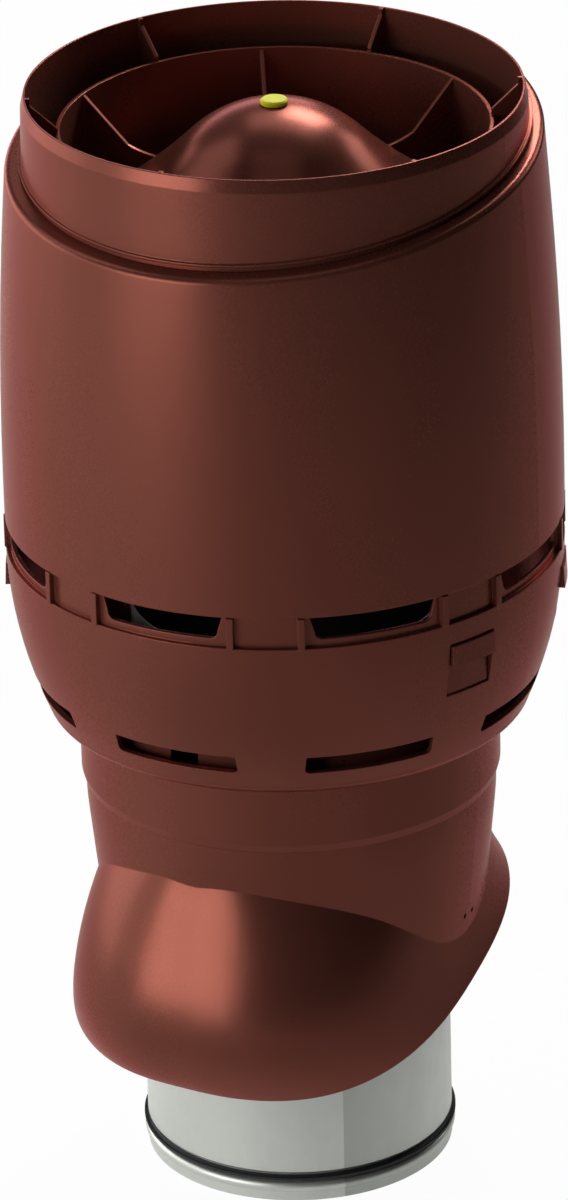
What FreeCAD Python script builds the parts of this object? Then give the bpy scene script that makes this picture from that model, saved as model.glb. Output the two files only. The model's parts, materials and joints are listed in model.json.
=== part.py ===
import FreeCAD, Part
import math
import os
import Sketcher
from FreeCAD import Placement, Rotation, Vector

doc = FreeCAD.newDocument("roof_outlet")

# Driving dimensions in millimetres and degrees. The origin is the centre of the duct's lower end,
# +Z is up and the roof falls towards -Y.
driving = {
    # duct
    "duct_radius": 80,
    "duct_wall": 0.8,
    "duct_rise": 15,
    "duct_bead_bottom": 5,
    "duct_bead_length": 5.6,
    "duct_bead_height": 0.7,
    "seal_groove_length": 6,
    "seal_groove_depth": 1.8,
    "seal_lip_reach": 1.9,
    "seal_lip_thickness": 1.4,
    # clearance between pieces that are pushed together
    "fit_gap": 0.3,
    # skirt over the roof pass-through, measured in and above the plane of its rim
    "skirt_slope": 18,
    "skirt_height": 116.3,
    "skirt_power": 2.6,
    "skirt_rim_down": 122.6,
    "skirt_rim_up": 114,
    "skirt_rim_side": 105.8,
    "skirt_belly_rise": 40,
    "skirt_belly_down": 122,
    "skirt_belly_up": 112,
    "skirt_belly_side": 94,
    "skirt_waist_rise": 80,
    "skirt_waist_down": 94,
    "skirt_waist_up": 108,
    "skirt_waist_side": 79,
    "skirt_crown_rise": 115,
    "skirt_crown_down": 70,
    "skirt_crown_up": 85,
    "skirt_crown_side": 45,
    # casing tube, its heights measured from the skirt's rim on the axis
    "casing_wall": 3,
    "tube_radius": 105.8,
    "tube_length": 138.4,
    "tube_bend_rise": 86.7,
    "tube_bend_round": 140,
    "tube_taper": 5.7,
    "screw_hole_diameter": 2.8,
    "screw_hole_rise": 30.7,
    "screw_hole_spacing": 8.5,
    "insulation_rise": 39.7,
    # bowl
    "neck_length": 40.2,
    "neck_wall": 2,
    "neck_chamfer_height": 4.4,
    "neck_chamfer_depth": 1.2,
    "floor_thickness": 3,
    "floor_lip": 2.6,
    "floor_width": 10.5,
    "bowl_height": 89,
    "bowl_inset": 0.1,
    "bowl_heel_reach": 6.2,
    "bowl_heel_rise": 5.3,
    "bowl_heel_round": 6.5,
    "bowl_curve": 222,
    "bowl_wall": 2.5,
    "band_wall": 2.2,
    "band_height": 28,
    "gutter_inset": 0.6,
    "gutter_wall": 2.5,
    "gutter_height": 25,
    "hat_rise": 14,
    "hat_thickness": 3.5,
    # slots, ribs and snap windows of the bowl
    "slot_count": 8,
    "air_slot_rise": 4,
    "air_slot_height": 16,
    "air_slot_half_width": 34,
    "air_slot_taper": 3.5,
    "air_slot_round": 4,
    "drain_slot_rise": 14.2,
    "drain_slot_height": 10.2,
    "drain_slot_half_width": 33.4,
    "drain_slot_round": 2.5,
    "latch_rise": 7.8,
    "latch_height": 6.8,
    "latch_half_width": 7.6,
    "latch_round": 0.8,
    "rib_angle": 7.15,
    "rib_width_angle": 1.4,
    "rib_reach": 0.6,
    "clip_half_angle": 5.6,
    "clip_side_gap_angle": 0.35,
    "clip_window_drop": 11.6,
    "clip_window_height": 29.8,
    # hood
    "hood_radius": 142.5,
    "hood_wall": 2.2,
    "hood_height": 197.8,
    "hood_straight": 19.2,
    "hood_lean": 5.6,
    "air_gap": 16.8,
    "shoulder_slope": 9,
    "shoulder_width": 15.2,
    "shoulder_thickness": 3,
    "shoulder_round": 3,
    "leg_thickness": 2.6,
    "leg_root_height": 12,
    "leg_foot_gap": 1.1,
    "hook_height": 11.4,
    "hook_reach": 1,
    "hook_play": 0.9,
    # outlet insert
    "rim_rise": 27.4,
    "collar_wall": 3.4,
    "collar_depth": 50.6,
    "collar_taper": 0.8,
    "collar_taper_drop": 13.6,
    "collar_bevel": 1.6,
    "collar_bevel_height": 6.4,
    "bead_rise": 2.5,
    "bead_height": 1.3,
    "bead_reach": 1.2,
    "flange_height": 2.6,
    "flange_reach": 3.2,
    "vane_count": 6,
    "vane_thickness": 2.2,
    "outer_outlet_width": 14.7,
    "outer_vane_rise": 6,
    "rim_nub_length": 2.2,
    "rim_nub_height": 3.6,
    "ring_wall": 2,
    "ring_drop": 19,
    "ring_rise": 2,
    "vane_ring_step": 2.6,
    "inner_outlet_width": 15.2,
    "inner_vane_run": 25.2,
    "inner_vane_fall": 24,
    "inner_vane_curve": 60,
    "dome_drop": 8,
    "dome_height": 62,
    "dome_wall": 2.8,
    "dome_crown_radius": 28,
    "dome_crown_drop": 10.4,
    "dome_flank_curve": 430,
    # plug
    "plug_radius": 7,
    "plug_head_height": 2.4,
    "plug_stem_radius": 3.6,
    "plug_head_bevel": 0.9,
    "plug_grip_length": 3.6,
    "plug_barb_length": 2,
    "plug_barb_reach": 0.6,
}

sheet = doc.addObject("Spreadsheet::Sheet", "sizes")
for row, (word, number) in enumerate(driving.items(), start=1):
    sheet.set(f"A{row}", word)
    sheet.set(f"B{row}", str(number))
    sheet.setAlias(f"B{row}", word)
doc.recompute()


class Size:
    """A length or angle with the expression that ties it to the sheet."""

    def __init__(self, text, value):
        self.text = text
        self.value = value

    def joined(self, other, sign, result, swapped=False):
        other = other if isinstance(other, Size) else Size(repr(other), other)
        first, second = (other, self) if swapped else (self, other)
        return Size(f"({first.text} {sign} {second.text})", result(first.value, second.value))

    def __add__(self, other):
        return self.joined(other, "+", lambda a, b: a + b)

    def __radd__(self, other):
        return self.joined(other, "+", lambda a, b: a + b, True)

    def __sub__(self, other):
        return self.joined(other, "-", lambda a, b: a - b)

    def __rsub__(self, other):
        return self.joined(other, "-", lambda a, b: a - b, True)

    def __mul__(self, other):
        return self.joined(other, "*", lambda a, b: a * b)

    def __rmul__(self, other):
        return self.joined(other, "*", lambda a, b: a * b, True)

    def __truediv__(self, other):
        return self.joined(other, "/", lambda a, b: a / b)

    def __rtruediv__(self, other):
        return self.joined(other, "/", lambda a, b: a / b, True)

    def __neg__(self):
        return Size(f"(-{self.text})", -self.value)


def sine(angle):
    return Size(f"sin({angle.text})", math.sin(math.radians(angle.value)))


def cosine(angle):
    return Size(f"cos({angle.text})", math.cos(math.radians(angle.value)))


def tangent(angle):
    return Size(f"tan({angle.text})", math.tan(math.radians(angle.value)))


def diagonal(run, rise):
    return Size(f"hypot({run.text}; {rise.text})", math.hypot(run.value, rise.value))


class Sizes:
    """The sheet's cells as sizes, by their aliases."""

    def __getattr__(self, word):
        return Size(f"sizes.{word}", float(sheet.get(word)))


size = Sizes()
zero = Size("0", 0.0)


# Sketches and features

def origin_feature(body, role):
    return next(item for item in body.Origin.OriginFeatures if item.Role == role)


def new_sketch(body, name, plane="XZ_Plane"):
    item = body.newObject("Sketcher::SketchObject", name)
    item.AttachmentSupport = [(origin_feature(body, plane), "")]
    item.MapMode = "FlatFace"
    return item


def turn_sketch(item, angle):
    """Turns an upright sketch about Z: at 0 its outline lies towards +X, at -90 towards -Y."""
    item.AttachmentOffset = Placement(Vector(), Rotation(Vector(0, 1, 0), angle.value))
    item.setExpression("AttachmentOffset.Rotation.Angle", angle.text)


def draw(item, corners, rounds=None):
    """Closes an outline through the corners. rounds gives the radius of the sides that are arcs, by the
    index of the corner they start at: positive bulges to the left of the walk, negative to the right."""
    rounds = rounds or {}
    count = len(corners)
    ends = []
    for index in range(count):
        start = Vector(corners[index][0].value, corners[index][1].value, 0)
        end = Vector(corners[(index + 1) % count][0].value, corners[(index + 1) % count][1].value, 0)
        if index in rounds:
            radius = rounds[index].value
            chord = end - start
            left = Vector(-chord.y, chord.x, 0).normalize()
            half = chord.Length / 2
            rise = abs(radius) - math.sqrt(radius * radius - half * half)
            middle = (start + end) * 0.5 + left * (rise if radius > 0 else -rise)
            if radius > 0:
                ends.append((item.addGeometry(Part.Arc(end, middle, start), False), 2, 1))
            else:
                ends.append((item.addGeometry(Part.Arc(start, middle, end), False), 1, 2))
        else:
            ends.append((item.addGeometry(Part.LineSegment(start, end), False), 1, 2))
    for index in range(count):
        number, first, last = ends[index]
        following, next_first, _ = ends[(index + 1) % count]
        item.addConstraint(Sketcher.Constraint("Coincident", number, last, following, next_first))
        for kind, place in zip(("DistanceX", "DistanceY"), corners[index]):
            rule = item.addConstraint(Sketcher.Constraint(kind, -1, 1, number, first, place.value))
            item.setExpression(f"Constraints[{rule}]", place.text)
        if index in rounds:
            radius = rounds[index]
            rule = item.addConstraint(Sketcher.Constraint("Radius", number, abs(radius.value)))
            item.setExpression(f"Constraints[{rule}]", f"abs({radius.text})")


def revolve(body, item, kind="Revolution", sweep=None):
    """Turns a sketch about its own upright axis: all round, or over a sweep with the sketch in its middle."""
    feature = body.newObject(f"PartDesign::{kind}", item.Name + "_turned")
    feature.Profile = item
    feature.ReferenceAxis = (item, ["V_Axis"])
    if sweep is None:
        feature.Angle = 360
    else:
        feature.Midplane = True
        feature.setExpression("Angle", sweep.text)
    doc.recompute()
    return feature


def extrude(body, item, length, kind="Pad", midplane=True):
    feature = body.newObject(f"PartDesign::{kind}", item.Name + "_" + kind.lower())
    feature.Profile = item
    feature.Midplane = midplane
    feature.setExpression("Length", length.text)
    doc.recompute()
    return feature


def repeat_round(body, features, count):
    pattern = body.newObject("PartDesign::PolarPattern", features[0].Name + "_round")
    pattern.Originals = features
    pattern.Axis = (origin_feature(body, "Z_Axis"), [""])
    pattern.Angle = 360
    pattern.setExpression("Occurrences", count.text)
    body.Tip = pattern
    doc.recompute()
    return pattern


def mirror_across(body, features, plane):
    copy = body.newObject("PartDesign::Mirrored", features[0].Name + "_mirrored")
    copy.Originals = features
    copy.MirrorPlane = (origin_feature(body, plane), [""])
    body.Tip = copy
    doc.recompute()
    return copy


def turned_body(name, corners, rounds=None):
    body = doc.addObject("PartDesign::Body", name)
    item = new_sketch(body, name + "_section")
    draw(item, corners, rounds)
    revolve(body, item)
    return body


def tangent_radius(run, drop):
    """Radius of an arc that starts along the run and ends a drop away from it."""
    return (run * run + drop * drop) / (2 * drop)


# Levels and radii that several pieces share, from the skirt up and from the hood inwards

tube_top = size.skirt_height + size.tube_length
tube_bend_height = size.skirt_height + size.tube_bend_rise
floor_bottom = tube_top + size.fit_gap
floor_top = floor_bottom + size.floor_thickness
gutter_top = floor_top + size.gutter_height
hat_top = gutter_top + size.hat_rise
bowl_top = floor_bottom + size.bowl_height
band_top = bowl_top + size.band_height
clip_window_top = bowl_top - size.clip_window_drop
clip_window_bottom = clip_window_top - size.clip_window_height
hood_bottom = bowl_top + size.air_gap
shoulder_height = hood_bottom + size.hood_height
shoulder_rise = tangent(size.shoulder_slope)
hood_blank_top = shoulder_height + shoulder_rise * size.hood_radius + size.hood_wall
collar_bottom = shoulder_height - size.collar_depth
rim_height = shoulder_height + size.rim_rise

neck_inner = size.tube_radius + size.fit_gap
neck_outer = neck_inner + size.neck_wall
band_radius = size.hood_radius - size.hood_wall - size.fit_gap
band_inner = band_radius - size.band_wall
leg_outer = band_inner - size.fit_gap
leg_inner = leg_outer - size.leg_thickness
rib_radius = size.hood_radius + size.rib_reach
collar_radius = size.hood_radius - size.shoulder_width
slot_pitch = 360 / size.slot_count
clip_turn = slot_pitch / 2


# Duct pipe: thin rolled steel with a seal groove and a bead near its lower end

bead_top = size.duct_bead_bottom + size.duct_bead_length
groove_bottom = bead_top + size.duct_bead_height
groove_top = bead_top + size.seal_groove_length


def duct_line(offset):
    """The duct's outer line from the lower end up, moved in by an offset."""
    radius = size.duct_radius - offset
    groove = radius - size.seal_groove_depth
    bead = radius + size.duct_bead_height
    return [
        (radius, zero),
        (radius, size.duct_bead_bottom),
        (bead, size.duct_bead_bottom + size.duct_bead_height),
        (bead, bead_top - size.duct_bead_height),
        (groove, groove_bottom),
        (groove, groove_top - size.seal_groove_depth),
        (radius, groove_top),
        (radius, hat_top + size.duct_rise),
    ]


duct_pipe = turned_body("duct_pipe", duct_line(zero) + duct_line(size.duct_wall)[::-1])

# Pipe seal: a rubber ring in the groove with one lip that leans back up the duct

seal_bottom = groove_bottom + size.fit_gap
seal_inner = size.duct_radius - size.seal_groove_depth + size.fit_gap / 2
seal_root = seal_bottom + size.seal_lip_thickness
lip_radius = size.duct_radius + size.seal_lip_reach
pipe_seal = turned_body("pipe_seal", [
    (seal_inner, seal_bottom),
    (size.duct_radius, seal_bottom),
    (lip_radius, seal_bottom + size.seal_lip_reach / 2),
    (lip_radius, seal_root + size.seal_lip_reach / 2),
    (size.duct_radius, seal_root),
    (seal_inner, seal_root + size.seal_lip_thickness),
])


# Casing: a tube that tapers down into a slanted skirt with rounded-square sections

bend_length = size.tube_bend_round * tangent(size.tube_taper / 2)


def tube_line(cut, bottom, top):
    """The tube's line from the bottom up, moved in by a cut: a cone, a soft bend and a straight top."""
    radius = size.tube_radius - cut
    return [
        (radius - tangent(size.tube_taper) * (tube_bend_height - bottom), bottom),
        (radius - bend_length * sine(size.tube_taper), tube_bend_height - bend_length * cosine(size.tube_taper)),
        (radius, tube_bend_height + bend_length),
        (radius, top),
    ]


def tube_solid(name, cut, bottom, top):
    line = tube_line(cut, bottom, top)
    return turned_body(name, [(zero, bottom)] + line + [(zero, top)], {2: -(size.tube_bend_round - cut)})


def rounded_square(down, up, side, rise):
    """Closed curve between an ellipse and a rectangle, in a plane a rise above the skirt's rim."""
    power = 2 / size.skirt_power.value
    length = (down.value + up.value) / 2
    middle = (down.value - up.value) / 2
    points = []
    stations = 24
    for index in range(stations):
        angle = 2 * math.pi * index / stations
        across = math.copysign(abs(math.sin(angle)) ** power, math.sin(angle)) * side.value
        along = math.copysign(abs(math.cos(angle)) ** power, math.cos(angle)) * length + middle
        points.append(Vector(across, -along, rise.value))
    curve = Part.BSplineCurve()
    curve.interpolate(points, PeriodicFlag=True)
    return Part.Wire([curve.toShape()])


def skirt_section(word, rise, cut):
    """One of the skirt's sections by its word in the sheet, made smaller by a cut."""
    down, up, side = (getattr(size, f"skirt_{word}_{reach}") - cut for reach in ("down", "up", "side"))
    return rounded_square(down, up, side, rise)


def skirt_solid(name, cut, foot_drop):
    """Loft from the skirt's rim through its belly and waist to the crown inside the tube."""
    rim = skirt_section("rim", zero, cut)
    belly = skirt_section("belly", size.skirt_belly_rise, cut)
    waist = skirt_section("waist", size.skirt_waist_rise, cut)
    crown = skirt_section("crown", size.skirt_crown_rise - cut, cut)
    solid = Part.makeLoft([rim, belly, waist, crown], True)
    if foot_drop.value > 0:
        solid = solid.fuse(Part.Face(rim).extrude(Vector(0, 0, -foot_drop.value)))
    item = doc.addObject("Part::Feature", name)
    item.Shape = solid
    lean = Rotation(Vector(1, 0, 0), size.skirt_slope.value)
    item.Placement = Placement(Vector(0, 0, size.skirt_height.value), lean)
    return item


def combine(name, kind, base, tool):
    item = doc.addObject(f"Part::{kind}", name)
    item.Base = base
    item.Tool = tool
    doc.recompute()
    return item


def screw_hole(name, offset):
    """Round tool right through both sides of the casing."""
    tool = doc.addObject("Part::Cylinder", name)
    reach = size.skirt_rim_side + size.casing_wall
    tool.setExpression("Radius", (size.screw_hole_diameter / 2).text)
    tool.setExpression("Height", (2 * reach).text)
    tool.Placement = Placement(Vector(), Rotation(Vector(0, 1, 0), 90))
    tool.setExpression("Placement.Base.x", (-reach).text)
    tool.setExpression("Placement.Base.y", offset.text)
    tool.setExpression("Placement.Base.z", (size.skirt_height + size.screw_hole_rise).text)
    return tool


tube_blank = tube_solid("tube_blank", zero, size.skirt_height, tube_top)
tube_bore = tube_solid(
    "tube_bore", size.casing_wall, size.skirt_height - size.casing_wall, tube_top + size.skirt_crown_rise)
skirt_blank = skirt_solid("skirt_blank", zero, zero)
skirt_bore = skirt_solid("skirt_bore", size.casing_wall, size.skirt_rim_down)
casing_blank = combine("casing_blank", "Fuse", tube_blank, skirt_blank)
casing_bore = combine("casing_bore", "Fuse", tube_bore, skirt_bore)
casing_shell = combine("casing_shell", "Cut", casing_blank, casing_bore)
screw_holes = combine(
    "screw_holes", "Fuse",
    screw_hole("front_screw_hole", -size.screw_hole_spacing / 2),
    screw_hole("rear_screw_hole", size.screw_hole_spacing / 2))
casing = combine("casing", "Cut", casing_shell, screw_holes)

# Insulation sleeve: fills the space between the duct and the casing tube

sleeve_inner = size.duct_radius + size.fit_gap
sleeve_cut = size.casing_wall + size.fit_gap
sleeve_bottom = size.skirt_height + size.insulation_rise
insulation_sleeve = turned_body(
    "insulation_sleeve",
    [(sleeve_inner, sleeve_bottom)]
    + tube_line(sleeve_cut, sleeve_bottom, tube_top)
    + [(sleeve_inner, tube_top)],
    {2: -(size.tube_bend_round - sleeve_cut)})

# Drain bowl: neck over the casing, floor, gutter with a hat round the duct, curved wall and recessed band

hat_radius = size.duct_radius + size.fit_gap
neck_bottom = tube_top - size.neck_length
lip_inner = neck_inner - size.floor_lip
foot_radius = neck_outer + size.floor_width
heel_radius = foot_radius + size.bowl_heel_reach
heel_height = floor_bottom + size.bowl_heel_rise
bowl_radius = size.hood_radius - size.bowl_inset
gutter_radius = foot_radius - size.gutter_inset
gutter_inner = gutter_radius - size.gutter_wall
drain_bowl = turned_body("drain_bowl", [
    (neck_inner, neck_bottom),
    (neck_outer - size.neck_chamfer_depth, neck_bottom),
    (neck_outer, neck_bottom + size.neck_chamfer_height),
    (neck_outer, floor_bottom),
    (foot_radius, floor_bottom),
    (heel_radius, heel_height),
    (bowl_radius, bowl_top),
    (band_radius, bowl_top),
    (band_radius, band_top),
    (band_inner, band_top),
    (band_inner, clip_window_top),
    (heel_radius - size.bowl_wall, heel_height + size.bowl_wall),
    (foot_radius, floor_top),
    (gutter_radius, floor_top),
    (gutter_radius, gutter_top),
    (hat_radius, hat_top),
    (hat_radius, hat_top - size.hat_thickness),
    (gutter_inner, gutter_top - size.gutter_wall),
    (gutter_inner, floor_top),
    (lip_inner, floor_top),
    (lip_inner, floor_bottom),
    (neck_inner, floor_bottom),
], {4: -size.bowl_heel_round, 5: -size.bowl_curve, 10: size.bowl_curve})


def wall_slot(name, start_radius, depth, bottom, top, half_bottom, half_top, corner):
    """Slot through a wall towards -Y, from a radius outwards, with rounded lower corners."""
    item = new_sketch(drain_bowl, name)
    item.AttachmentOffset = Placement(Vector(0, 0, start_radius.value), Rotation())
    item.setExpression("AttachmentOffset.Base.z", start_radius.text)
    draw(item, [
        (corner - half_bottom, bottom),
        (half_bottom - corner, bottom),
        (half_bottom, bottom + corner),
        (half_top, top),
        (-half_top, top),
        (-half_bottom, bottom + corner),
    ], {1: -corner, 5: -corner})
    slot = extrude(drain_bowl, item, depth, "Pocket", midplane=False)
    slot.Reversed = True
    doc.recompute()
    return slot


def wall_sector(body, name, turn, sweep, corners, kind):
    """Part of a turned ring, added or cut, with its middle at a turn from +X."""
    item = new_sketch(body, name)
    turn_sketch(item, turn)
    draw(item, corners)
    return revolve(body, item, kind, sweep)


drain_slot_bottom = floor_bottom + size.drain_slot_rise
drain_slot = wall_slot(
    "drain_slot", gutter_radius + size.fit_gap, size.hood_radius,
    drain_slot_bottom, drain_slot_bottom + size.drain_slot_height,
    size.drain_slot_half_width, size.drain_slot_half_width, size.drain_slot_round)
repeat_round(drain_bowl, [drain_slot], size.slot_count)
air_slot_bottom = bowl_top + size.air_slot_rise
air_slot = wall_slot(
    "air_slot", gutter_radius, size.hood_radius,
    air_slot_bottom, air_slot_bottom + size.air_slot_height,
    size.air_slot_half_width - size.air_slot_taper, size.air_slot_half_width, size.air_slot_round)
repeat_round(drain_bowl, [air_slot], size.slot_count)
latch_bottom = floor_top + size.latch_rise
latch_hole = wall_slot(
    "latch_hole", gutter_inner - size.gutter_wall, 2 * size.gutter_wall + size.fit_gap,
    latch_bottom, latch_bottom + size.latch_height,
    size.latch_half_width, size.latch_half_width, size.latch_round)
mirror_across(drain_bowl, [latch_hole], "XZ_Plane")

rib_top = hood_bottom - size.fit_gap
for side, word in ((-1, "left"), (1, "right")):
    rib = wall_sector(
        drain_bowl, f"{word}_rib", clip_turn + side * size.rib_angle, size.rib_width_angle, [
            (band_radius - size.band_wall / 2, bowl_top - size.band_wall),
            (bowl_radius - size.band_wall / 2, bowl_top - size.band_wall),
            (rib_radius, bowl_top),
            (rib_radius, rib_top),
            (band_radius - size.band_wall / 2, rib_top),
        ], "Revolution")
    repeat_round(drain_bowl, [rib], size.slot_count)

window_inner = leg_inner - size.bowl_wall
window_sweep = 2 * (size.clip_half_angle + size.clip_side_gap_angle)
windows = []
for side, word in ((-1, "front"), (1, "rear")):
    windows.append(wall_sector(
        drain_bowl, f"{word}_clip_window", side * clip_turn, window_sweep, [
            (window_inner, clip_window_bottom),
            (rib_radius, clip_window_bottom),
            (rib_radius, clip_window_top),
            (window_inner, clip_window_top),
        ], "Groove"))
mirror_across(drain_bowl, windows, "YZ_Plane")

# Hood shell: a barrel with a slanted top, a lip round the outlet and four snap legs

hood_curve_bottom = hood_bottom + size.hood_straight
hood_curve_top = shoulder_height - shoulder_rise * size.hood_radius - 2 * size.shoulder_round
hood_curve_rise = hood_curve_top - hood_curve_bottom
hood_curve = tangent_radius(hood_curve_rise, size.hood_lean)
hood_top_lean = size.hood_lean + (hood_blank_top - hood_curve_top) * hood_curve_rise / (hood_curve - size.hood_lean)


def barrel(name, cut, bottom, top):
    """Solid of the hood made smaller by a cut: straight below, a long curve inwards and a cone at the top."""
    radius = size.hood_radius - cut
    body = turned_body(name, [
        (zero, bottom),
        (radius, bottom),
        (radius, hood_curve_bottom),
        (radius - size.hood_lean, hood_curve_top),
        (radius - hood_top_lean, hood_blank_top),
        (zero, hood_blank_top),
    ], {2: -hood_curve})
    slant_cut(body, name + "_top", top, above=True)
    return body


def slant_cut(body, name, height, above):
    """Cuts away what lies above or below a plane that falls towards -Y and crosses the axis at a height."""
    reach = size.hood_radius + size.hood_wall
    fall = shoulder_rise * reach
    far = hood_blank_top + fall if above else hood_bottom - fall
    item = new_sketch(body, name, "YZ_Plane")
    draw(item, [(-reach, height - fall), (reach, height + fall), (reach, far), (-reach, far)])
    extrude(body, item, 2 * reach, "Pocket")


def merge(body, tool, kind):
    feature = body.newObject("PartDesign::Boolean", tool.Name + "_" + kind.lower())
    feature.Type = kind
    feature.setObjects([tool])
    doc.recompute()
    return feature


hood_shell = barrel("hood_shell", zero, hood_bottom, shoulder_height)
hood_blank = hood_shell.Tip
edges = hood_blank.Shape.Edges
top_edge = max(range(len(edges)), key=lambda index: (edges[index].BoundBox.ZMax, edges[index].Length))
shoulder = hood_shell.newObject("PartDesign::Fillet", "shoulder")
shoulder.Base = (hood_blank, [f"Edge{top_edge + 1}"])
shoulder.setExpression("Radius", size.shoulder_round.text)
doc.recompute()
hood_core = barrel(
    "hood_core", size.hood_wall, hood_bottom - size.hood_wall,
    shoulder_height - size.shoulder_thickness)
merge(hood_shell, hood_core, "Cut")

lip_bore = new_sketch(hood_shell, "lip_bore")
lip_bore_radius = collar_radius + size.fit_gap
draw(lip_bore, [
    (zero, collar_bottom),
    (lip_bore_radius, collar_bottom),
    (lip_bore_radius, hood_blank_top),
    (zero, hood_blank_top),
])
revolve(hood_shell, lip_bore, "Groove")

leg_foot = clip_window_bottom + size.leg_foot_gap
hook_top = clip_window_top - size.hook_play
hook_bottom = hook_top - size.hook_height
leg_root = band_top + size.fit_gap
root_radius = size.hood_radius - size.hood_wall / 2
legs = []
for side, word in ((-1, "front"), (1, "rear")):
    legs.append(wall_sector(
        hood_shell, f"{word}_leg", side * clip_turn, 2 * size.clip_half_angle, [
            (leg_inner, leg_foot),
            (leg_outer, leg_foot),
            (leg_outer, hook_bottom),
            (size.hood_radius + size.hook_reach, hook_bottom),
            (size.hood_radius + size.hook_reach / 2, hook_top),
            (leg_outer, hook_top),
            (leg_outer, leg_root),
            (root_radius, leg_root),
            (root_radius, leg_root + size.leg_root_height),
            (leg_inner, leg_root + size.leg_root_height / 2),
        ], "Revolution"))
mirror_across(hood_shell, legs, "YZ_Plane")

# Outlet insert: collar, vanes, middle ring and rain dome in one moulding

collar_bore = collar_radius - size.collar_wall
bevel_radius = collar_radius - size.collar_taper
rim_radius = bevel_radius - size.collar_bevel
outlet_insert = turned_body("outlet_insert", [
    (collar_bore, collar_bottom),
    (collar_radius, collar_bottom),
    (collar_radius, shoulder_height - size.collar_taper_drop),
    (bevel_radius, rim_height - size.collar_bevel_height),
    (rim_radius, rim_height),
    (collar_bore, rim_height),
])


def slant_ring(name, outer, low, high):
    """Ring round the collar between two planes that run along the hood's slanted shoulder."""
    body = turned_body(name, [
        (collar_bore, collar_bottom),
        (outer, collar_bottom),
        (outer, hood_blank_top),
        (collar_bore, hood_blank_top),
    ])
    slant_cut(body, name + "_top", high, above=True)
    slant_cut(body, name + "_bottom", low, above=False)
    merge(outlet_insert, body, "Fuse")


bead_bottom = shoulder_height + size.bead_rise
slant_ring("collar_bead", collar_radius + size.bead_reach, bead_bottom, bead_bottom + size.bead_height)
flange_top = shoulder_height - size.shoulder_thickness - size.fit_gap
slant_ring("collar_flange", collar_radius + size.flange_reach, flange_top - size.flange_height, flange_top)

ring_radius = collar_bore - size.outer_outlet_width
ring_inner = ring_radius - size.ring_wall
ring_middle = ring_radius - size.ring_wall / 2
ring_top = rim_height - size.ring_drop
ring_bottom = collar_bottom + size.ring_rise
ring_section = new_sketch(outlet_insert, "ring_section")
draw(ring_section, [
    (ring_inner, ring_bottom),
    (ring_radius, ring_bottom),
    (ring_radius, ring_top),
    (ring_inner, ring_top),
])
revolve(outlet_insert, ring_section)

dome_apex = rim_height - size.dome_drop
dome_crown_height = dome_apex - size.dome_crown_drop
dome_edge_height = dome_apex - size.dome_height
dome_edge_radius = ring_inner - size.inner_outlet_width
dome_section = new_sketch(outlet_insert, "dome_section")
draw(dome_section, [
    (zero, dome_apex),
    (zero, dome_apex - size.dome_wall),
    (size.dome_crown_radius, dome_crown_height - size.dome_wall),
    (dome_edge_radius, dome_edge_height - size.dome_wall),
    (dome_edge_radius, dome_edge_height),
    (size.dome_crown_radius, dome_crown_height),
], {
    1: tangent_radius(size.dome_crown_radius, size.dome_crown_drop),
    2: -size.dome_flank_curve,
    4: size.dome_flank_curve,
    5: -tangent_radius(size.dome_crown_radius, size.dome_crown_drop),
})
revolve(outlet_insert, dome_section)

plug_hole = new_sketch(outlet_insert, "plug_hole")
plug_hole_radius = size.plug_stem_radius + size.fit_gap
draw(plug_hole, [
    (zero, dome_crown_height - size.dome_wall),
    (plug_hole_radius, dome_crown_height - size.dome_wall),
    (plug_hole_radius, rim_height),
    (zero, rim_height),
])
revolve(outlet_insert, plug_hole, "Groove")


def vane(name, turn, corners, rounds=None):
    item = new_sketch(outlet_insert, name)
    turn_sketch(item, turn)
    draw(item, corners, rounds)
    repeat_round(outlet_insert, [extrude(outlet_insert, item, size.vane_thickness)], size.vane_count)


outer_vane_bottom = collar_bottom + size.outer_vane_rise
collar_middle = (collar_bore + rim_radius) / 2
nub_inner = collar_bore - size.rim_nub_length
vane("outer_vane", Size("-90", -90), [
    (ring_middle, outer_vane_bottom),
    (collar_middle, outer_vane_bottom),
    (collar_middle, rim_height),
    (nub_inner, rim_height),
    (nub_inner, rim_height - size.rim_nub_height),
    (ring_middle, ring_top + size.vane_ring_step),
])

# The inner vanes end inside the dome's wall, half way down its flank
flank_run = dome_edge_radius - size.dome_crown_radius
flank_fall = dome_crown_height - dome_edge_height
flank_chord = diagonal(flank_run, flank_fall)
flank_sag = flank_chord * flank_chord / (8 * size.dome_flank_curve)
vane_root_radius = size.dome_crown_radius + flank_run / 2 - flank_sag * flank_fall / flank_chord
vane_root_height = dome_edge_height + flank_fall / 2 - flank_sag * flank_run / flank_chord - size.dome_wall / 2
dome_edge_bottom = dome_edge_height - size.dome_wall
vane_pitch = 360 / size.vane_count
vane("inner_vane", vane_pitch / 2 - 90, [
    (ring_middle, dome_edge_bottom),
    (ring_middle, ring_top),
    (ring_middle - size.inner_vane_run, ring_top - size.inner_vane_fall),
    (vane_root_radius, vane_root_height),
    (dome_edge_radius - size.dome_wall / 2, dome_edge_bottom),
], {2: size.inner_vane_curve})

# Dome plug: a push-in button with a barbed stem

plug_top = dome_apex + size.plug_head_height
barb_top = dome_apex - size.plug_grip_length
dome_plug = turned_body("dome_plug", [
    (zero, plug_top),
    (zero, barb_top - size.plug_barb_length),
    (size.plug_stem_radius - size.plug_barb_reach, barb_top - size.plug_barb_length),
    (size.plug_stem_radius + size.plug_barb_reach, barb_top),
    (size.plug_stem_radius, barb_top),
    (size.plug_stem_radius, dome_apex),
    (size.plug_radius, dome_apex),
    (size.plug_radius, plug_top - size.plug_head_bevel),
    (size.plug_radius - size.plug_head_bevel, plug_top),
])

# Checks, then one file for each piece

doc.recompute()
for item in doc.Objects:
    if "Invalid" in item.State or "Error" in item.State:
        raise RuntimeError(f"{item.Label} failed: {item.State}")

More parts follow.
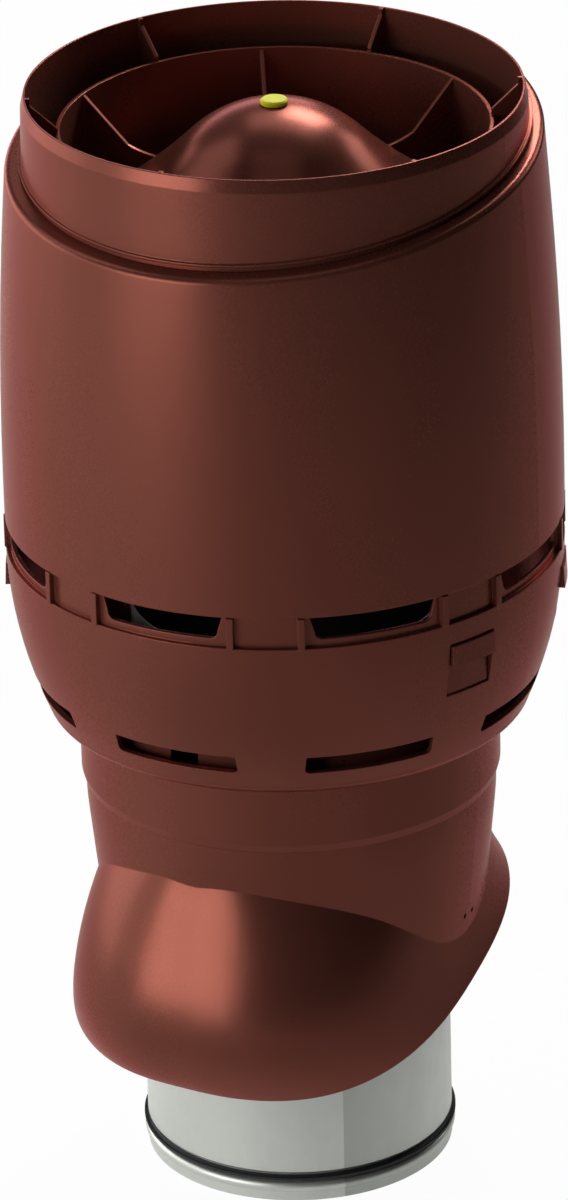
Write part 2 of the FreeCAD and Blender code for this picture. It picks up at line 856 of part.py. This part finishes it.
pieces = [
    hood_shell, outlet_insert, dome_plug, drain_bowl, casing, insulation_sleeve, duct_pipe, pipe_seal,
]
os.makedirs("parts", exist_ok=True)
for piece in pieces:
    if piece.Shape.isNull() or not piece.Shape.isValid() or len(piece.Shape.Solids) != 1:
        raise RuntimeError(f"{piece.Label} is not one sound solid")
for piece in pieces:
    piece.Shape.exportStep(f"parts/{piece.Label}.step")
    box = piece.Shape.BoundBox
    print(f"{piece.Label}: {piece.Shape.Volume / 1000:.1f} cm3, z {box.ZMin:.1f} to {box.ZMax:.1f}")
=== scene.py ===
import json
import math

import bmesh
import bpy
from mathutils import Matrix, Vector


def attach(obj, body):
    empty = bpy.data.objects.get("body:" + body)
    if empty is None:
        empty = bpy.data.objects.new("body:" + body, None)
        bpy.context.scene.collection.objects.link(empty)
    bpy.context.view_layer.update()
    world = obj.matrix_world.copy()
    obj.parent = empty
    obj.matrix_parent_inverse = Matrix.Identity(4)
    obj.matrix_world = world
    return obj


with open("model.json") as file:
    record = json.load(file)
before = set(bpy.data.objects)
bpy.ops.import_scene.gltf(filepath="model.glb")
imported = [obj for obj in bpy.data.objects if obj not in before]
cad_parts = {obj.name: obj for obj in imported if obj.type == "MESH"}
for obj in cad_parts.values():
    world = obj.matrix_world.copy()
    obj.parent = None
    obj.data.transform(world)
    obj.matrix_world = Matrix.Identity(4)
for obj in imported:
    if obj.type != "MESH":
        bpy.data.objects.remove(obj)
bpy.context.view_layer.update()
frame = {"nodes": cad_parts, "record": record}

print("frame loaded:", ", ".join(sorted(frame["nodes"])))


# Shader sockets as values: operators add Math nodes, and add() makes any other node

class Val:
    def __init__(self, finish, socket):
        self.finish = finish
        self.socket = socket

    def math(self, operation, other):
        return self.finish.add("ShaderNodeMath", {"operation": operation}, {0: self, 1: other})

    def __add__(self, other):
        return self.math("ADD", other)

    def __radd__(self, other):
        return self.math("ADD", other)

    def __sub__(self, other):
        return self.math("SUBTRACT", other)

    def __mul__(self, other):
        return self.math("MULTIPLY", other)


class Finish:
    def __init__(self, name, **constants):
        self.material = bpy.data.materials.new(name)
        self.material.use_nodes = True
        self.tree = self.material.node_tree
        self.shader = self.tree.nodes["Principled BSDF"]
        self.output = self.tree.nodes["Material Output"]
        self.surface(**constants)

    def add(self, kind, settings=None, sockets=None, out=0):
        node = self.tree.nodes.new(kind)
        for key, value in (settings or {}).items():
            setattr(node, key, value)
        for key, value in (sockets or {}).items():
            self.feed(node.inputs[key], value)
        return Val(self, node.outputs[out])

    def feed(self, socket, value):
        if isinstance(value, Val):
            self.tree.links.new(value.socket, socket)
        else:
            socket.default_value = value

    def place(self, stretch=(1, 1, 1)):
        coords = self.add("ShaderNodeTexCoord", out="Object")
        return self.add("ShaderNodeMapping", {}, {"Vector": coords, "Scale": stretch})

    def noise(self, scale, detail, stretch=(1, 1, 1)):
        return self.add("ShaderNodeTexNoise", {},
                        {"Vector": self.place(stretch), "Scale": scale, "Detail": detail})

    def cells(self, scale, out, stretch=(1, 1, 1)):
        return self.add("ShaderNodeTexVoronoi", {}, {"Vector": self.place(stretch), "Scale": scale}, out)

    def seamCoords(self, angle):
        coords = self.add("ShaderNodeTexCoord", out="Object")
        turned = self.add("ShaderNodeVectorRotate", {"rotation_type": "Z_AXIS"},
                          {"Vector": coords, "Angle": -angle})
        split = self.tree.nodes.new("ShaderNodeSeparateXYZ")
        self.feed(split.inputs[0], turned)
        across, along, height = (Val(self, split.outputs[axis]) for axis in "XYZ")
        return across, along * -1.0, height

    def spread(self, value, low, high, start=0.0, end=1.0):
        return self.add("ShaderNodeMapRange", {},
                        {"Value": value, "From Min": low, "From Max": high, "To Min": start, "To Max": end})

    def mix(self, factor, first, second):
        return self.add("ShaderNodeMix", {"data_type": "RGBA"}, {0: factor, 6: first, 7: second}, out=2)

    def softEdge(self, radius):
        return self.add("ShaderNodeBevel", {"samples": 6}, {"Radius": radius})

    def bump(self, height, distance, strength, normal=None):
        sockets = {"Height": height, "Distance": distance, "Strength": strength}
        if normal is not None:
            sockets["Normal"] = normal
        return self.add("ShaderNodeBump", {}, sockets)

    def surface(self, **sockets):
        for socket, value in sockets.items():
            self.feed(self.shader.inputs[socket.replace("_", " ")], value)
        return self.material


def fromScreen(red, green, blue):
    def linear(value):
        value = value / 255
        return value / 12.92 if value <= 0.04045 else ((value + 0.055) / 1.055) ** 2.4
    return (linear(red), linear(green), linear(blue), 1.0)


# Moulded brick-red plastic: faint flow marks, fine mould grain, softened edges

redPlastic = {
    "colour": fromScreen(128, 73, 61),
    "deep": fromScreen(118, 66, 55),
    "metal": 0.5,
    "ior": 1.5,
    "sheenTint": (1.0, 0.27, 0.19, 1),
    "flowScale": 9,
    "flowStretch": (1, 1, 0.35),
    "flowRange": (0.32, 0.68),
    "flowShare": 0.75,
    "speckScale": 900,
    "speckShare": 0.25,
    "roughness": 0.23,
    "roughSpread": 0.05,
    "grainScale": 2600,
    "grainDepth": 0.00002,
    "grainStrength": 0.35,
    "edgeRadius": 0.0009,
}


def makeRedPlastic():
    look = redPlastic
    finish = Finish("redPlastic", Metallic=look["metal"], IOR=look["ior"], Specular_Tint=look["sheenTint"])
    flow = finish.spread(finish.noise(look["flowScale"], 3, look["flowStretch"]), *look["flowRange"])
    speck = finish.noise(look["speckScale"], 2)
    tone = flow * look["flowShare"] + speck * look["speckShare"]
    colour = finish.mix(tone, look["colour"], look["deep"])
    rough = look["roughness"] + flow * look["roughSpread"] + speck * look["roughSpread"]
    grain = finish.noise(look["grainScale"], 2)
    normal = finish.bump(grain, look["grainDepth"], look["grainStrength"], finish.softEdge(look["edgeRadius"]))
    return finish.surface(Base_Color=colour, Roughness=rough, Normal=normal)


# Yellow-green plug

plugPlastic = {
    "colour": fromScreen(244, 240, 16),
    "deep": fromScreen(226, 223, 12),
    "ior": 1.4,
    "cloudScale": 240,
    "roughness": 0.4,
    "roughSpread": 0.1,
    "grainScale": 3200,
    "grainDepth": 0.00002,
    "grainStrength": 0.5,
    "edgeRadius": 0.0005,
}


def makePlugPlastic():
    look = plugPlastic
    finish = Finish("plugPlastic", IOR=look["ior"])
    cloud = finish.noise(look["cloudScale"], 2)
    colour = finish.mix(cloud, look["colour"], look["deep"])
    rough = look["roughness"] + cloud * look["roughSpread"]
    grain = finish.noise(look["grainScale"], 2)
    normal = finish.bump(grain, look["grainDepth"], look["grainStrength"], finish.softEdge(look["edgeRadius"]))
    return finish.surface(Base_Color=colour, Roughness=rough, Normal=normal)


# Galvanised steel: faint crystal spangle, soft rolling marks, one overlapping seam at the front right with
# painted shade fading away to its right, and painted shade deeper inside

galvanised = {
    "light": fromScreen(225, 227, 221),
    "dark": fromScreen(214, 217, 210),
    # painted shade on the sheet just right of the overlapping seam, standing in for a slight facet turned from
    # the light
    "lapShade": fromScreen(191, 194, 187),
    # painted shade deep inside the duct
    "dustAndShade": fromScreen(52, 53, 51),
    "metal": 0.8,
    "spangleScale": 190,
    "spangleStretch": (1, 1, 0.6),
    "spangleRange": (0.3, 0.5),
    "rollScale": 60,
    "rollStretch": (1, 1, 0.04),
    "rollShare": 0.3,
    "seamAngle": 43.0,
    "seamEdge": 0.004,
    "seamFade": 1.2,
    "innerRadius": 0.0796,
    "innerEdge": 0.0002,
    "innerShadeHeights": (0.06, 0.2),
    "roughness": 0.38,
    "spangleRough": 0.05,
    "rollRough": 0.08,
    "spangleRelief": 0.01,
    "rollRelief": 0.02,
    "seamStep": 0.0005,
    "reliefStrength": 0.5,
}


def makeGalvanised():
    look = galvanised
    finish = Finish("galvanisedSteel", Metallic=look["metal"])
    cell = finish.cells(look["spangleScale"], "Color", look["spangleStretch"])
    tone = finish.add("ShaderNodeSeparateColor", {}, {0: cell})
    roll = finish.noise(look["rollScale"], 3, look["rollStretch"])
    across, along, height = finish.seamCoords(math.radians(look["seamAngle"]))
    past = across.math("ARCTAN2", along)
    # beside the seam: a small step for the bump, and painted shade that fades out over seamFade
    lapStepAndShade = finish.spread(past, 0.0, look["seamEdge"]) * finish.spread(past, 0.0, look["seamFade"], 1.0, 0.0)
    patch = finish.spread(tone, 0.0, 1.0, *look["spangleRange"]) + roll * look["rollShare"]
    sheet = finish.mix(lapStepAndShade, finish.mix(patch, look["light"], look["dark"]), look["lapShade"])
    radius = (across * across + along * along).math("SQRT", 0.0)
    inside = finish.spread(radius, look["innerRadius"] - look["innerEdge"], look["innerRadius"], 1.0, 0.0)
    # painted shade inside the duct: darker with height, from 0.06 m up to 0.2 m
    colour = finish.mix(inside * finish.spread(height, *look["innerShadeHeights"]), sheet, look["dustAndShade"])
    rough = look["roughness"] + tone * look["spangleRough"] + roll * look["rollRough"]
    relief = roll * look["rollRelief"] + tone * look["spangleRelief"] - lapStepAndShade
    normal = finish.bump(relief, look["seamStep"], look["reliefStrength"])
    return finish.surface(Base_Color=colour, Roughness=rough, Normal=normal)


# Black seal rubber

sealRubber = {
    "dark": fromScreen(20, 20, 21),
    "light": fromScreen(38, 38, 39),
    "dustScale": 500,
    "roughness": 0.55,
    "roughSpread": 0.2,
    "grainScale": 2500,
    "grainDepth": 0.00003,
    "grainStrength": 0.6,
}


def makeSealRubber():
    look = sealRubber
    finish = Finish("sealRubber")
    dustAndShade = finish.noise(look["dustScale"], 3)
    colour = finish.mix(dustAndShade, look["dark"], look["light"])
    rough = look["roughness"] + dustAndShade * look["roughSpread"]
    normal = finish.bump(finish.noise(look["grainScale"], 2), look["grainDepth"], look["grainStrength"])
    return finish.surface(Base_Color=colour, Roughness=rough, Normal=normal)


# Grey insulation foam

foam = {
    "dark": fromScreen(70, 72, 74),
    "light": fromScreen(112, 114, 116),
    "cellScale": 420,
    "cellDepth": 0.0006,
    "cellStrength": 0.8,
    "roughness": 0.85,
    "roughSpread": 0.1,
}


def makeFoam():
    look = foam
    finish = Finish("insulationFoam")
    cell = finish.cells(look["cellScale"], "Distance")
    colour = finish.mix(cell, look["dark"], look["light"])
    rough = look["roughness"] + cell * look["roughSpread"]
    normal = finish.bump(cell, look["cellDepth"], look["cellStrength"])
    return finish.surface(Base_Color=colour, Roughness=rough, Normal=normal)


materials = {
    "red_plastic": makeRedPlastic(),
    "plug_plastic": makePlugPlastic(),
    "galvanised_steel": makeGalvanised(),
    "seal_rubber": makeSealRubber(),
    "insulation": makeFoam(),
}
for part in frame["record"]["subparts"]:
    node = frame["nodes"][part["node"]]
    node.data.materials.clear()
    node.data.materials.append(materials[part["material_slot"]])
print("materials set:", ", ".join(materials))


# Rain dome: the full bell of the outlet, fitted over the insert's own dome and under the plug's head

rainDome = {
    "apexHeight": 0.578,
    "crownCurve": 0.064,
    "crownSlope": 45.0,
    "flankCurve": 0.26,
    "edgeRadius": 0.092,
    "holeRadius": 0.0038,
    "wall": 0.0016,
    "crownSteps": 20,
    "flankSteps": 16,
    "turnSteps": 144,
}


def domeLine():
    look = rainDome
    crown, flank = look["crownCurve"], look["flankCurve"]
    steep = math.radians(look["crownSlope"])
    first = math.asin(look["holeRadius"] / crown)
    line = []
    for step in range(look["crownSteps"] + 1):
        lean = first + (steep - first) * step / look["crownSteps"]
        line.append((crown * math.sin(lean), look["apexHeight"] - crown * (1 - math.cos(lean))))
    startRadius, startHeight = line[-1]
    last = math.asin(math.sin(steep) - (look["edgeRadius"] - startRadius) / flank)
    for step in range(1, look["flankSteps"] + 1):
        lean = steep + (last - steep) * step / look["flankSteps"]
        radius = startRadius + flank * (math.sin(steep) - math.sin(lean))
        line.append((radius, startHeight - flank * (math.cos(lean) - math.cos(steep))))
    return line


def domeSection():
    outer = domeLine()
    return outer + [(radius, height - rainDome["wall"]) for radius, height in reversed(outer)]


# Duct bead: the rolled round bead under the seal, fitted over the duct's flat one

ductBead = {
    "radius": 0.08,
    "bottom": 0.005,
    "length": 0.0056,
    "height": 0.0016,
    "overlap": 0.0002,
    "arcSteps": 12,
    "turnSteps": 192,
}


def beadSection():
    look = ductBead
    half = look["length"] / 2
    curve = (half ** 2 + look["height"] ** 2) / (2 * look["height"])
    centre = look["radius"] + look["height"] - curve
    reach = math.asin(half / curve)
    section = []
    for step in range(look["arcSteps"] + 1):
        lean = reach * (2 * step / look["arcSteps"] - 1)
        section.append((centre + curve * math.cos(lean), look["bottom"] + half + curve * math.sin(lean)))
    inner = look["radius"] - look["overlap"]
    return section + [(inner, look["bottom"] + look["length"]), (inner, look["bottom"])]


# Turned pieces: a closed section spun once round the duct's axis

turned = {"mergeDistance": 0.00001, "sharpAngle": 40.0}


def makeTurned(name, section, turnSteps, slot):
    shape = bmesh.new()
    corners = [shape.verts.new((radius, 0, height)) for radius, height in section]
    edges = [shape.edges.new((corners[i - 1], corners[i])) for i in range(len(corners))]
    bmesh.ops.spin(shape, geom=corners + edges, cent=(0, 0, 0), axis=(0, 0, 1), angle=2 * math.pi,
                   steps=turnSteps, use_merge=True)
    bmesh.ops.remove_doubles(shape, verts=shape.verts, dist=turned["mergeDistance"])
    bmesh.ops.recalc_face_normals(shape, faces=shape.faces)
    for face in shape.faces:
        face.smooth = True
    for edge in shape.edges:
        edge.smooth = edge.calc_face_angle(0.0) < math.radians(turned["sharpAngle"])
    mesh = bpy.data.meshes.new(name)
    shape.to_mesh(mesh)
    shape.free()
    mesh.materials.append(materials[slot])
    piece = bpy.data.objects.new(name, mesh)
    bpy.context.scene.collection.objects.link(piece)
    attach(piece, "root")


makeTurned("rainDome", domeSection(), rainDome["turnSteps"], "red_plastic")
makeTurned("ductBead", beadSection(), ductBead["turnSteps"], "galvanised_steel")
print("dome and bead fitted")


# Camera: the photo's view, from the front right and above

view = {
    "azimuth": 27.0,
    "elevation": 24.661,
    "distance": 4.07176,
    "aimSide": -0.00157,
    "aimHeight": 0.305873,
    "roll": 1.494,
    "lens": 238.794,
    "sensorHeight": 36.0,
    "farthest": 50.0,
}


def polar(azimuth, elevation):
    turn, rise = math.radians(azimuth), math.radians(elevation)
    return Vector((math.sin(turn) * math.cos(rise), -math.cos(turn) * math.cos(rise), math.sin(rise)))


def makeCamera():
    back = polar(view["azimuth"], view["elevation"])
    right = polar(view["azimuth"] + 90, 0)
    up = back.cross(right)
    roll = math.radians(view["roll"])
    across = right * math.cos(roll) - up * math.sin(roll)
    upward = right * math.sin(roll) + up * math.cos(roll)
    target = right * view["aimSide"] + Vector((0, 0, view["aimHeight"]))
    data = bpy.data.cameras.new("photoCamera")
    data.sensor_fit = "VERTICAL"
    data.sensor_height = view["sensorHeight"]
    data.lens = view["lens"]
    data.clip_end = view["farthest"]
    camera = bpy.data.objects.new("photoCamera", data)
    turn = Matrix((across, upward, back)).transposed().to_4x4()
    camera.matrix_world = Matrix.Translation(target + back * view["distance"]) @ turn
    bpy.context.scene.collection.objects.link(camera)
    bpy.context.scene.camera = camera


makeCamera()
print("camera set")


# Pale floor: white to the camera, a soft glow round the duct, clear from below

stage = {
    "floorSize": 20.0,
    "floorDrop": 0.0003,
    "floorColour": (0.85, 0.85, 0.85, 1),
    "floorRoughness": 0.9,
    "glowLevel": 0.4,
    "glowRadius": (0.15, 0.32),
    "seenLevel": 0.97,
    "worldLevel": 0.012,
    "white": (1, 1, 1, 1),
}


def makeFloor():
    mesh = bpy.data.meshes.new("studioFloor")
    shape = bmesh.new()
    bmesh.ops.create_grid(shape, x_segments=1, y_segments=1, size=stage["floorSize"] / 2)
    bmesh.ops.translate(shape, verts=shape.verts, vec=(0, 0, -stage["floorDrop"]))
    shape.to_mesh(mesh)
    shape.free()
    floor = bpy.data.objects.new("studioFloor", mesh)
    bpy.context.scene.collection.objects.link(floor)
    finish = Finish("floorPaper", Base_Color=stage["floorColour"], Roughness=stage["floorRoughness"])
    paper = Val(finish, finish.shader.outputs[0])
    glow = finish.add("ShaderNodeEmission", {}, {"Color": stage["white"], "Strength": 1.0})
    seen = finish.add("ShaderNodeLightPath", out="Is Camera Ray")
    coords = finish.add("ShaderNodeTexCoord", out="Object")
    reach = finish.add("ShaderNodeVectorMath", {"operation": "LENGTH"}, {0: coords}, "Value")
    under = finish.spread(reach, *stage["glowRadius"], stage["glowLevel"], 0.0)
    lit = under.math("MAXIMUM", seen * stage["seenLevel"])
    top = finish.add("ShaderNodeMixShader", {}, {0: lit, 1: paper, 2: glow})
    below = finish.add("ShaderNodeNewGeometry", out="Backfacing")
    clear = finish.add("ShaderNodeBsdfTransparent")
    sheet = finish.add("ShaderNodeMixShader", {}, {0: below, 1: top, 2: clear})
    finish.feed(finish.output.inputs["Surface"], sheet)
    mesh.materials.append(finish.material)


# White surroundings that light the part only a little

def makeWorld():
    world = bpy.data.worlds.new("studio")
    world.use_nodes = True
    bpy.context.scene.world = world
    tree = world.node_tree
    ground = tree.nodes["Background"]
    ground.inputs["Color"].default_value = stage["white"]
    path = tree.nodes.new("ShaderNodeLightPath")
    seen = tree.nodes.new("ShaderNodeMath")
    seen.operation = "MAXIMUM"
    tree.links.new(path.outputs["Is Camera Ray"], seen.inputs[0])
    tree.links.new(path.outputs["Is Transmission Ray"], seen.inputs[1])
    level = tree.nodes.new("ShaderNodeMapRange")
    level.inputs["To Min"].default_value = stage["worldLevel"]
    level.inputs["To Max"].default_value = 1.0
    tree.links.new(seen.outputs[0], level.inputs["Value"])
    tree.links.new(level.outputs[0], ground.inputs["Strength"])


# Soft lamps round the part, and small ones near its dome; turn counts from the camera

lampGroups = [
    {"aim": 0.3, "away": 2.4, "lamps": {
        "keyLamp": {"turn": -50, "rise": 8, "size": (1.4, 1.15), "power": 22.5},
        "fillLamp": {"turn": -80, "rise": 10, "size": (1.1, 1.2), "power": 4.5},
        "leftLamp": {"turn": -116, "rise": 11, "size": (2, 1.5), "power": 21.5},
        "backLamp": {"turn": -164, "rise": 9, "size": (2.4, 1.2), "power": 20},
        "highLamp": {"turn": 170, "rise": 56, "size": (1.6, 1), "power": 8},
        "rightLamp": {"turn": 132, "rise": 26, "size": (0.9, 0.9), "power": 8},
    }},
    {"aim": 0.57, "away": 0.7, "lamps": {
        "domeLamp": {"turn": 160, "rise": 38, "size": (0.25, 0.25), "power": 2.9},
        "domeSideLamp": {"turn": -105, "rise": 44, "size": (0.4, 0.4), "power": 0.6},
        "domeFrontLamp": {"turn": 0, "rise": 68, "size": (0.5, 0.5), "power": 0.24},
    }},
]


def makeLamp(name, lamp, aimHeight, away):
    data = bpy.data.lights.new(name, "AREA")
    data.shape = "RECTANGLE"
    data.size, data.size_y = lamp["size"]
    data.energy = lamp["power"]
    item = bpy.data.objects.new(name, data)
    back = polar(view["azimuth"] + lamp["turn"], lamp["rise"])
    turn = back.to_track_quat("Z", "Y").to_matrix().to_4x4()
    item.matrix_world = Matrix.Translation(Vector((0, 0, aimHeight)) + back * away) @ turn
    item.visible_camera = False
    bpy.context.scene.collection.objects.link(item)


makeFloor()
makeWorld()
for group in lampGroups:
    for name, lamp in group["lamps"].items():
        makeLamp(name, lamp, group["aim"], group["away"])
bpy.context.scene.view_settings.view_transform = "Standard"
print("studio ready")
